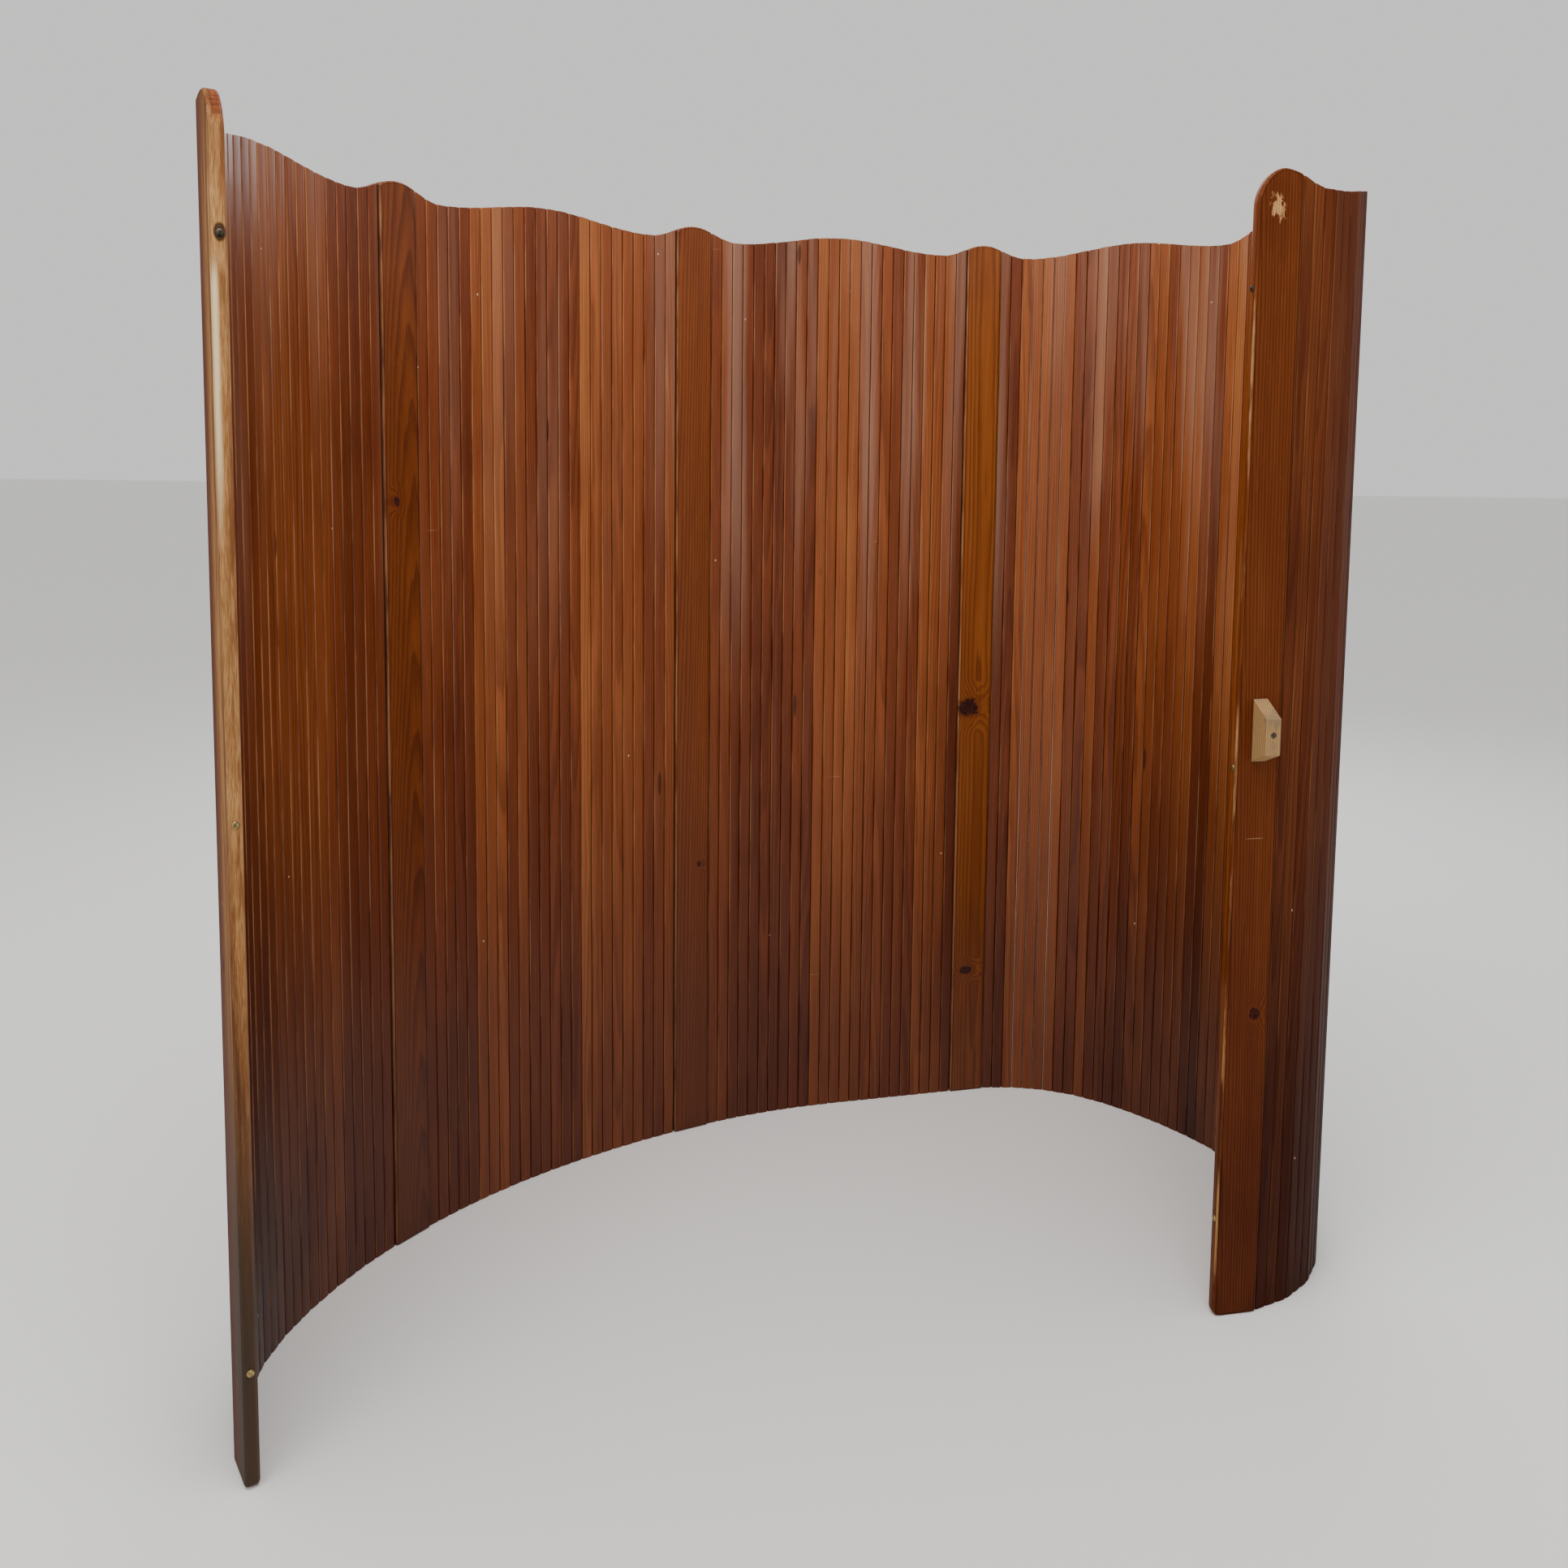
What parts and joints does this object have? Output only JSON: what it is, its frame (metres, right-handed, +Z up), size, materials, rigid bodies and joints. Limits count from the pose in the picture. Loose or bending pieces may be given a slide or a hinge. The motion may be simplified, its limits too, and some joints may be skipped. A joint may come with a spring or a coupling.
{
  "type": "roll-up screen",
  "caption": "Tall free-standing roll-up screen of varnished pine: ribbed slat panels between plain boards, with a wavy top edge, standing in a deep curve.",
  "frame": {"origin": "on the floor, under the middle of the whole object's box", "axes": "+Z up; -Y is the side that the inside of the curve opens to; +X to the right when looking along +Y"},
  "size_m": [1.6204, 1.158, 1.7],
  "materials": {
    "slat_wood": "semi-gloss red-brown varnish on pine slats, each slat a slightly different tone",
    "board_wood": "semi-gloss amber-brown varnish on pine boards, worn pale on the free edges",
    "raw_wood": "bare planed pine, matt",
    "pin_metal": "dull, tarnished",
    "screw_metal": "dull zinc-plated steel"
  },
  "bodies": {
    "left_end_board": {"left_end_board": "board_wood", "left_wire_pin_1": "pin_metal", "left_wire_pin_2": "pin_metal", "left_wire_pin_3": "pin_metal"},
    "panel_1_strip_1": {"panel_1_strip_1": "slat_wood"},
    "panel_1_strip_2": {"panel_1_strip_2": "slat_wood"},
    "panel_1_strip_3": {"panel_1_strip_3": "slat_wood"},
    "panel_1_strip_4": {"panel_1_strip_4": "slat_wood"},
    "panel_1_strip_5": {"panel_1_strip_5": "slat_wood"},
    "panel_1_strip_6": {"panel_1_strip_6": "slat_wood"},
    "panel_1_strip_7": {"panel_1_strip_7": "slat_wood"},
    "panel_1_strip_8": {"panel_1_strip_8": "slat_wood"},
    "board_1": {"board_1": "board_wood"},
    "panel_2_strip_1": {"panel_2_strip_1": "slat_wood"},
    "panel_2_strip_2": {"panel_2_strip_2": "slat_wood"},
    "panel_2_strip_3": {"panel_2_strip_3": "slat_wood"},
    "panel_2_strip_4": {"panel_2_strip_4": "slat_wood"},
    "panel_2_strip_5": {"panel_2_strip_5": "slat_wood"},
    "panel_2_strip_6": {"panel_2_strip_6": "slat_wood"},
    "panel_2_strip_7": {"panel_2_strip_7": "slat_wood"},
    "panel_2_strip_8": {"panel_2_strip_8": "slat_wood"},
    "board_2": {"board_2": "board_wood"},
    "panel_3_strip_1": {"panel_3_strip_1": "slat_wood"},
    "panel_3_strip_2": {"panel_3_strip_2": "slat_wood"},
    "panel_3_strip_3": {"panel_3_strip_3": "slat_wood"},
    "panel_3_strip_4": {"panel_3_strip_4": "slat_wood"},
    "panel_3_strip_5": {"panel_3_strip_5": "slat_wood"},
    "panel_3_strip_6": {"panel_3_strip_6": "slat_wood"},
    "panel_3_strip_7": {"panel_3_strip_7": "slat_wood"},
    "panel_3_strip_8": {"panel_3_strip_8": "slat_wood"},
    "board_3": {"board_3": "board_wood"},
    "panel_4_strip_1": {"panel_4_strip_1": "slat_wood"},
    "panel_4_strip_2": {"panel_4_strip_2": "slat_wood"},
    "panel_4_strip_3": {"panel_4_strip_3": "slat_wood"},
    "panel_4_strip_4": {"panel_4_strip_4": "slat_wood"},
    "panel_4_strip_5": {"panel_4_strip_5": "slat_wood"},
    "panel_4_strip_6": {"panel_4_strip_6": "slat_wood"},
    "panel_4_strip_7": {"panel_4_strip_7": "slat_wood"},
    "panel_4_strip_8": {"panel_4_strip_8": "slat_wood"},
    "board_4": {"board_4": "board_wood"},
    "panel_5_strip_1": {"panel_5_strip_1": "slat_wood"},
    "panel_5_strip_2": {"panel_5_strip_2": "slat_wood"},
    "panel_5_strip_3": {"panel_5_strip_3": "slat_wood"},
    "panel_5_strip_4": {"panel_5_strip_4": "slat_wood"},
    "panel_5_strip_5": {"panel_5_strip_5": "slat_wood"},
    "panel_5_strip_6": {"panel_5_strip_6": "slat_wood"},
    "panel_5_strip_7": {"panel_5_strip_7": "slat_wood"},
    "panel_5_strip_8": {"panel_5_strip_8": "slat_wood"},
    "right_end_board": {"right_end_board": "board_wood", "right_wire_pin_1": "pin_metal", "right_wire_pin_2": "pin_metal", "right_wire_pin_3": "pin_metal", "pull_block": "raw_wood", "pull_block_screw": "screw_metal"}
  },
  "joints": [
    {"name": "panel_1_bend", "type": "hinge", "parent": "board_1", "child": "panel_1_strip_8", "pos_m": [-0.70984, -0.03378, 0.85], "axis": [0, 0, 1], "range_deg": [-8, 5]},
    {"name": "panel_1_gap_8", "type": "hinge", "parent": "panel_1_strip_8", "child": "panel_1_strip_7", "pos_m": [-0.73979, -0.08989, 0.85], "axis": [0, 0, 1], "range_deg": [-8, 5]},
    {"name": "panel_1_gap_7", "type": "hinge", "parent": "panel_1_strip_7", "child": "panel_1_strip_6", "pos_m": [-0.76475, -0.14839, 0.85], "axis": [0, 0, 1], "range_deg": [-8, 5]},
    {"name": "panel_1_gap_6", "type": "hinge", "parent": "panel_1_strip_6", "child": "panel_1_strip_5", "pos_m": [-0.78451, -0.20884, 0.85], "axis": [0, 0, 1], "range_deg": [-8, 5]},
    {"name": "panel_1_gap_5", "type": "hinge", "parent": "panel_1_strip_5", "child": "panel_1_strip_4", "pos_m": [-0.79892, -0.27078, 0.85], "axis": [0, 0, 1], "range_deg": [-8, 5]},
    {"name": "panel_1_gap_4", "type": "hinge", "parent": "panel_1_strip_4", "child": "panel_1_strip_3", "pos_m": [-0.80513, -0.33408, 0.85], "axis": [0, 0, 1], "range_deg": [-8, 5]},
    {"name": "panel_1_gap_3", "type": "hinge", "parent": "panel_1_strip_3", "child": "panel_1_strip_2", "pos_m": [-0.80025, -0.39749, 0.85], "axis": [0, 0, 1], "range_deg": [-8, 5]},
    {"name": "panel_1_gap_2", "type": "hinge", "parent": "panel_1_strip_2", "child": "panel_1_strip_1", "pos_m": [-0.78443, -0.4591, 0.85], "axis": [0, 0, 1], "range_deg": [-8, 5]},
    {"name": "panel_1_gap_1", "type": "hinge", "parent": "panel_1_strip_1", "child": "left_end_board", "pos_m": [-0.75816, -0.51702, 0.85], "axis": [0, 0, 1], "range_deg": [-8, 5]},
    {"name": "panel_2_bend", "type": "hinge", "parent": "board_2", "child": "panel_2_strip_8", "pos_m": [-0.29666, 0.36448, 0.85], "axis": [0, 0, 1], "range_deg": [-4, 5]},
    {"name": "panel_2_gap_8", "type": "hinge", "parent": "panel_2_strip_8", "child": "panel_2_strip_7", "pos_m": [-0.35036, 0.3304, 0.85], "axis": [0, 0, 1], "range_deg": [-4, 5]},
    {"name": "panel_2_gap_7", "type": "hinge", "parent": "panel_2_strip_7", "child": "panel_2_strip_6", "pos_m": [-0.40252, 0.29401, 0.85], "axis": [0, 0, 1], "range_deg": [-4, 5]},
    {"name": "panel_2_gap_6", "type": "hinge", "parent": "panel_2_strip_6", "child": "panel_2_strip_5", "pos_m": [-0.45305, 0.25538, 0.85], "axis": [0, 0, 1], "range_deg": [-4, 5]},
    {"name": "panel_2_gap_5", "type": "hinge", "parent": "panel_2_strip_5", "child": "panel_2_strip_4", "pos_m": [-0.50184, 0.21459, 0.85], "axis": [0, 0, 1], "range_deg": [-4, 5]},
    {"name": "panel_2_gap_4", "type": "hinge", "parent": "panel_2_strip_4", "child": "panel_2_strip_3", "pos_m": [-0.54843, 0.17129, 0.85], "axis": [0, 0, 1], "range_deg": [-4, 5]},
    {"name": "panel_2_gap_3", "type": "hinge", "parent": "panel_2_strip_3", "child": "panel_2_strip_2", "pos_m": [-0.59229, 0.12524, 0.85], "axis": [0, 0, 1], "range_deg": [-4, 5]},
    {"name": "panel_2_gap_2", "type": "hinge", "parent": "panel_2_strip_2", "child": "panel_2_strip_1", "pos_m": [-0.63325, 0.07659, 0.85], "axis": [0, 0, 1], "range_deg": [-4, 5]},
    {"name": "panel_2_gap_1", "type": "hinge", "parent": "panel_2_strip_1", "child": "board_1", "pos_m": [-0.67117, 0.02553, 0.85], "axis": [0, 0, 1], "range_deg": [-4, 5]},
    {"name": "panel_3_bend", "type": "hinge", "parent": "panel_3_strip_4", "child": "panel_3_strip_5", "pos_m": [0.00143, 0.49135, 0.85], "axis": [0, 0, -1], "range_deg": [-3, 5]},
    {"name": "panel_3_gap_6", "type": "hinge", "parent": "panel_3_strip_5", "child": "panel_3_strip_6", "pos_m": [0.0631, 0.5069, 0.85], "axis": [0, 0, -1], "range_deg": [-3, 5]},
    {"name": "panel_3_gap_7", "type": "hinge", "parent": "panel_3_strip_6", "child": "panel_3_strip_7", "pos_m": [0.12477, 0.52244, 0.85], "axis": [0, 0, -1], "range_deg": [-3, 5]},
    {"name": "panel_3_gap_8", "type": "hinge", "parent": "panel_3_strip_7", "child": "panel_3_strip_8", "pos_m": [0.18644, 0.53799, 0.85], "axis": [0, 0, -1], "range_deg": [-3, 5]},
    {"name": "panel_3_gap_9", "type": "hinge", "parent": "panel_3_strip_8", "child": "board_3", "pos_m": [0.24811, 0.55354, 0.85], "axis": [0, 0, -1], "range_deg": [-3, 5]},
    {"name": "panel_3_gap_4", "type": "hinge", "parent": "panel_3_strip_4", "child": "panel_3_strip_3", "pos_m": [-0.05974, 0.47392, 0.85], "axis": [0, 0, 1], "range_deg": [-3, 5]},
    {"name": "panel_3_gap_3", "type": "hinge", "parent": "panel_3_strip_3", "child": "panel_3_strip_2", "pos_m": [-0.11973, 0.4528, 0.85], "axis": [0, 0, 1], "range_deg": [-3, 5]},
    {"name": "panel_3_gap_2", "type": "hinge", "parent": "panel_3_strip_2", "child": "panel_3_strip_1", "pos_m": [-0.17832, 0.42805, 0.85], "axis": [0, 0, 1], "range_deg": [-3, 5]},
    {"name": "panel_3_gap_1", "type": "hinge", "parent": "panel_3_strip_1", "child": "board_2", "pos_m": [-0.23528, 0.39977, 0.85], "axis": [0, 0, 1], "range_deg": [-3, 5]},
    {"name": "panel_4_bend", "type": "hinge", "parent": "board_3", "child": "panel_4_strip_1", "pos_m": [0.31676, 0.57085, 0.85], "axis": [0, 0, -1], "range_deg": [-9, 4]},
    {"name": "panel_4_gap_2", "type": "hinge", "parent": "panel_4_strip_1", "child": "panel_4_strip_2", "pos_m": [0.38029, 0.57379, 0.85], "axis": [0, 0, -1], "range_deg": [-9, 4]},
    {"name": "panel_4_gap_3", "type": "hinge", "parent": "panel_4_strip_2", "child": "panel_4_strip_3", "pos_m": [0.44314, 0.564, 0.85], "axis": [0, 0, -1], "range_deg": [-9, 4]},
    {"name": "panel_4_gap_4", "type": "hinge", "parent": "panel_4_strip_3", "child": "panel_4_strip_4", "pos_m": [0.50277, 0.54189, 0.85], "axis": [0, 0, -1], "range_deg": [-9, 4]},
    {"name": "panel_4_gap_5", "type": "hinge", "parent": "panel_4_strip_4", "child": "panel_4_strip_5", "pos_m": [0.55679, 0.50832, 0.85], "axis": [0, 0, -1], "range_deg": [-9, 4]},
    {"name": "panel_4_gap_6", "type": "hinge", "parent": "panel_4_strip_5", "child": "panel_4_strip_6", "pos_m": [0.60544, 0.46736, 0.85], "axis": [0, 0, -1], "range_deg": [-9, 4]},
    {"name": "panel_4_gap_7", "type": "hinge", "parent": "panel_4_strip_6", "child": "panel_4_strip_7", "pos_m": [0.65033, 0.42231, 0.85], "axis": [0, 0, -1], "range_deg": [-9, 4]},
    {"name": "panel_4_gap_8", "type": "hinge", "parent": "panel_4_strip_7", "child": "panel_4_strip_8", "pos_m": [0.69113, 0.37352, 0.85], "axis": [0, 0, -1], "range_deg": [-9, 4]},
    {"name": "panel_4_gap_9", "type": "hinge", "parent": "panel_4_strip_8", "child": "board_4", "pos_m": [0.72752, 0.32135, 0.85], "axis": [0, 0, -1], "range_deg": [-9, 4]},
    {"name": "panel_5_bend", "type": "hinge", "parent": "board_4", "child": "panel_5_strip_1", "pos_m": [0.76281, 0.25998, 0.85], "axis": [0, 0, -1], "range_deg": [-12, 4]},
    {"name": "panel_5_gap_2", "type": "hinge", "parent": "panel_5_strip_1", "child": "panel_5_strip_2", "pos_m": [0.78602, 0.20076, 0.85], "axis": [0, 0, -1], "range_deg": [-12, 4]},
    {"name": "panel_5_gap_3", "type": "hinge", "parent": "panel_5_strip_2", "child": "panel_5_strip_3", "pos_m": [0.80021, 0.13877, 0.85], "axis": [0, 0, -1], "range_deg": [-12, 4]},
    {"name": "panel_5_gap_4", "type": "hinge", "parent": "panel_5_strip_3", "child": "panel_5_strip_4", "pos_m": [0.80509, 0.07536, 0.85], "axis": [0, 0, -1], "range_deg": [-12, 4]},
    {"name": "panel_5_gap_5", "type": "hinge", "parent": "panel_5_strip_4", "child": "panel_5_strip_5", "pos_m": [0.80055, 0.01192, 0.85], "axis": [0, 0, -1], "range_deg": [-12, 4]},
    {"name": "panel_5_gap_6", "type": "hinge", "parent": "panel_5_strip_5", "child": "panel_5_strip_6", "pos_m": [0.78291, -0.04919, 0.85], "axis": [0, 0, -1], "range_deg": [-12, 4]},
    {"name": "panel_5_gap_7", "type": "hinge", "parent": "panel_5_strip_6", "child": "panel_5_strip_7", "pos_m": [0.74958, -0.10336, 0.85], "axis": [0, 0, -1], "range_deg": [-12, 4]},
    {"name": "panel_5_gap_8", "type": "hinge", "parent": "panel_5_strip_7", "child": "panel_5_strip_8", "pos_m": [0.70299, -0.14665, 0.85], "axis": [0, 0, -1], "range_deg": [-12, 4]},
    {"name": "panel_5_gap_9", "type": "hinge", "parent": "panel_5_strip_8", "child": "right_end_board", "pos_m": [0.64653, -0.17592, 0.85], "axis": [0, 0, -1], "range_deg": [-12, 4]}
  ],
  "couplings": [
    {"joint": "panel_1_gap_8", "follows": "panel_1_bend", "ratio": 1},
    {"joint": "panel_1_gap_7", "follows": "panel_1_bend", "ratio": 1},
    {"joint": "panel_1_gap_6", "follows": "panel_1_bend", "ratio": 1},
    {"joint": "panel_1_gap_5", "follows": "panel_1_bend", "ratio": 1},
    {"joint": "panel_1_gap_4", "follows": "panel_1_bend", "ratio": 1},
    {"joint": "panel_1_gap_3", "follows": "panel_1_bend", "ratio": 1},
    {"joint": "panel_1_gap_2", "follows": "panel_1_bend", "ratio": 1},
    {"joint": "panel_1_gap_1", "follows": "panel_1_bend", "ratio": 1},
    {"joint": "panel_2_gap_8", "follows": "panel_2_bend", "ratio": 1},
    {"joint": "panel_2_gap_7", "follows": "panel_2_bend", "ratio": 1},
    {"joint": "panel_2_gap_6", "follows": "panel_2_bend", "ratio": 1},
    {"joint": "panel_2_gap_5", "follows": "panel_2_bend", "ratio": 1},
    {"joint": "panel_2_gap_4", "follows": "panel_2_bend", "ratio": 1},
    {"joint": "panel_2_gap_3", "follows": "panel_2_bend", "ratio": 1},
    {"joint": "panel_2_gap_2", "follows": "panel_2_bend", "ratio": 1},
    {"joint": "panel_2_gap_1", "follows": "panel_2_bend", "ratio": 1},
    {"joint": "panel_3_gap_6", "follows": "panel_3_bend", "ratio": 1},
    {"joint": "panel_3_gap_7", "follows": "panel_3_bend", "ratio": 1},
    {"joint": "panel_3_gap_8", "follows": "panel_3_bend", "ratio": 1},
    {"joint": "panel_3_gap_9", "follows": "panel_3_bend", "ratio": 1},
    {"joint": "panel_3_gap_4", "follows": "panel_3_bend", "ratio": 1},
    {"joint": "panel_3_gap_3", "follows": "panel_3_bend", "ratio": 1},
    {"joint": "panel_3_gap_2", "follows": "panel_3_bend", "ratio": 1},
    {"joint": "panel_3_gap_1", "follows": "panel_3_bend", "ratio": 1},
    {"joint": "panel_4_gap_2", "follows": "panel_4_bend", "ratio": 1},
    {"joint": "panel_4_gap_3", "follows": "panel_4_bend", "ratio": 1},
    {"joint": "panel_4_gap_4", "follows": "panel_4_bend", "ratio": 1},
    {"joint": "panel_4_gap_5", "follows": "panel_4_bend", "ratio": 1},
    {"joint": "panel_4_gap_6", "follows": "panel_4_bend", "ratio": 1},
    {"joint": "panel_4_gap_7", "follows": "panel_4_bend", "ratio": 1},
    {"joint": "panel_4_gap_8", "follows": "panel_4_bend", "ratio": 1},
    {"joint": "panel_4_gap_9", "follows": "panel_4_bend", "ratio": 1},
    {"joint": "panel_5_gap_2", "follows": "panel_5_bend", "ratio": 1},
    {"joint": "panel_5_gap_3", "follows": "panel_5_bend", "ratio": 1},
    {"joint": "panel_5_gap_4", "follows": "panel_5_bend", "ratio": 1},
    {"joint": "panel_5_gap_5", "follows": "panel_5_bend", "ratio": 1},
    {"joint": "panel_5_gap_6", "follows": "panel_5_bend", "ratio": 1},
    {"joint": "panel_5_gap_7", "follows": "panel_5_bend", "ratio": 1},
    {"joint": "panel_5_gap_8", "follows": "panel_5_bend", "ratio": 1},
    {"joint": "panel_5_gap_9", "follows": "panel_5_bend", "ratio": 1}
  ]
}
